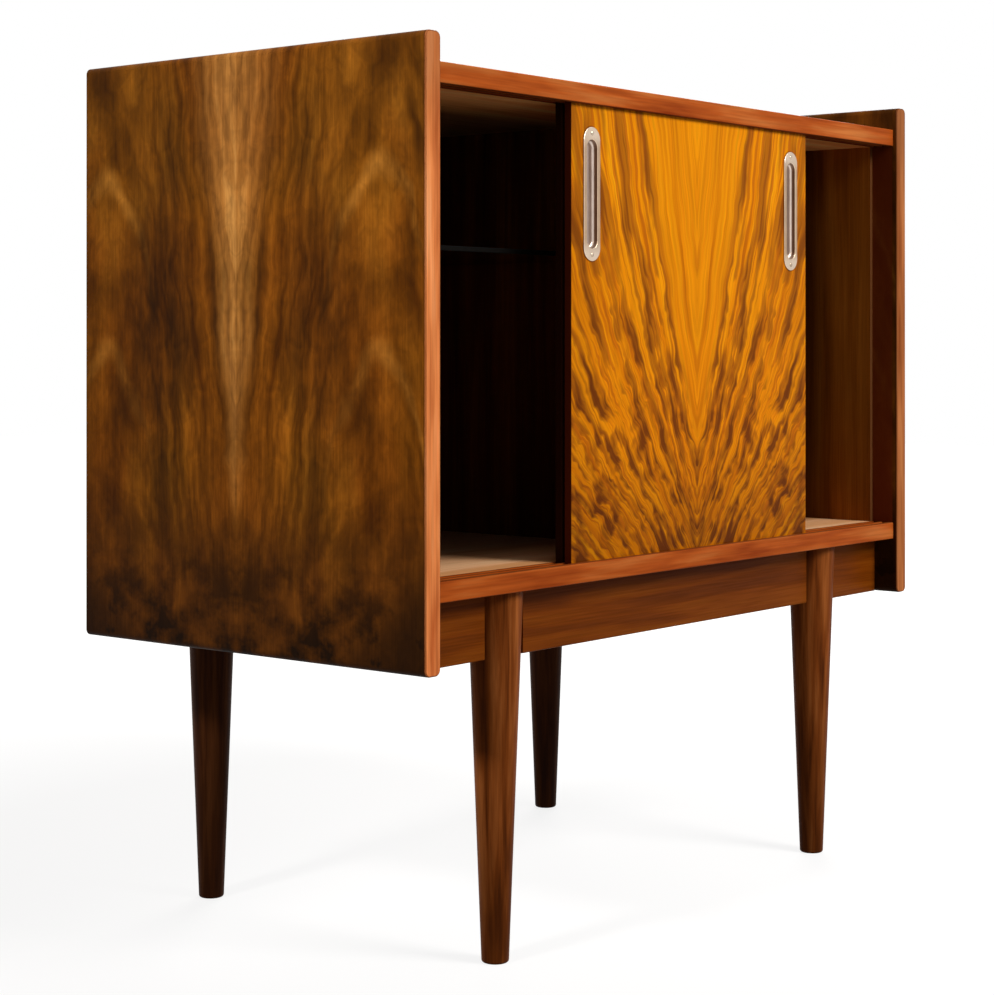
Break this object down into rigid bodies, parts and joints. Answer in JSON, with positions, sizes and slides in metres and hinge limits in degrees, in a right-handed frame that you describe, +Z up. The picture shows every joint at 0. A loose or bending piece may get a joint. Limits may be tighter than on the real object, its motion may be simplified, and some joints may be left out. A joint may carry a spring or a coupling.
{
  "type": "cellarette",
  "caption": "Bar cabinet with proud side panels, sliding veneered doors with recessed pulls, a glass shelf, and turned tapered legs set in the apron.",
  "frame": {"origin": "on the floor, under the middle of the cabinet", "axes": "+X to the right seen from the front, +Y to the back, so the doors face -Y, +Z up"},
  "size_m": [0.85, 0.444, 0.842],
  "materials": {
    "walnut_side": "satin lacquered walnut veneer",
    "red_lipping": "satin lacquered solid wood, stained red-brown",
    "board_veneer": "satin lacquered veneer, pale inside",
    "door_veneer": "gloss lacquered figured walnut veneer",
    "bay_lining": "satin lacquered veneer",
    "back_plywood": "raw plywood",
    "apron_wood": "satin lacquered veneer, stained brown",
    "leg_wood": "satin lacquered turned beech, stained red-brown",
    "plain_beech": "raw",
    "shelf_glass": "clear, ground front edge",
    "pull_metal": "nickel plated, polished",
    "pin_brass": "turned",
    "plain_steel": "plain"
  },
  "bodies": {
    "cabinet": {"side_panel_left": "walnut_side", "side_panel_right": "walnut_side", "side_lipping_left": "red_lipping", "side_lipping_right": "red_lipping", "top_lipping": "red_lipping", "bottom_lipping": "red_lipping", "top_board": "board_veneer", "bottom_board": "board_veneer", "partition": "bay_lining", "cheek_left": "bay_lining", "cheek_right": "bay_lining", "back_panel": "back_plywood", "front_rail": "apron_wood", "front_rail_left": "apron_wood", "front_rail_right": "apron_wood", "back_rail": "apron_wood", "back_rail_left": "apron_wood", "back_rail_right": "apron_wood", "leg_front_left": "leg_wood", "leg_front_right": "leg_wood", "leg_back_left": "leg_wood", "leg_back_right": "leg_wood", "carcass_dowels": "plain_beech", "rail_dowels": "plain_beech", "rail_blocks": "plain_beech", "glass_shelf": "shelf_glass", "shelf_pins": "pin_brass", "leg_bolts": "plain_steel", "leg_inserts": "plain_steel", "back_nails": "plain_steel"},
    "front_sliding_door": {"front_door_panel": "door_veneer", "front_pull_left": "pull_metal", "front_pull_right": "pull_metal", "front_pull_pins": "pull_metal"},
    "rear_sliding_door": {"rear_door_panel": "door_veneer", "rear_pull_left": "pull_metal", "rear_pull_right": "pull_metal", "rear_pull_pins": "pull_metal"}
  },
  "joints": [
    {"name": "front_door_slide", "type": "slide", "parent": "cabinet", "child": "front_sliding_door", "axis": [1, 0, 0], "range_m": [-0.2015, 0.1835]},
    {"name": "rear_door_slide", "type": "slide", "parent": "cabinet", "child": "rear_sliding_door", "axis": [1, 0, 0], "range_m": [-0.2015, 0.1835]}
  ]
}
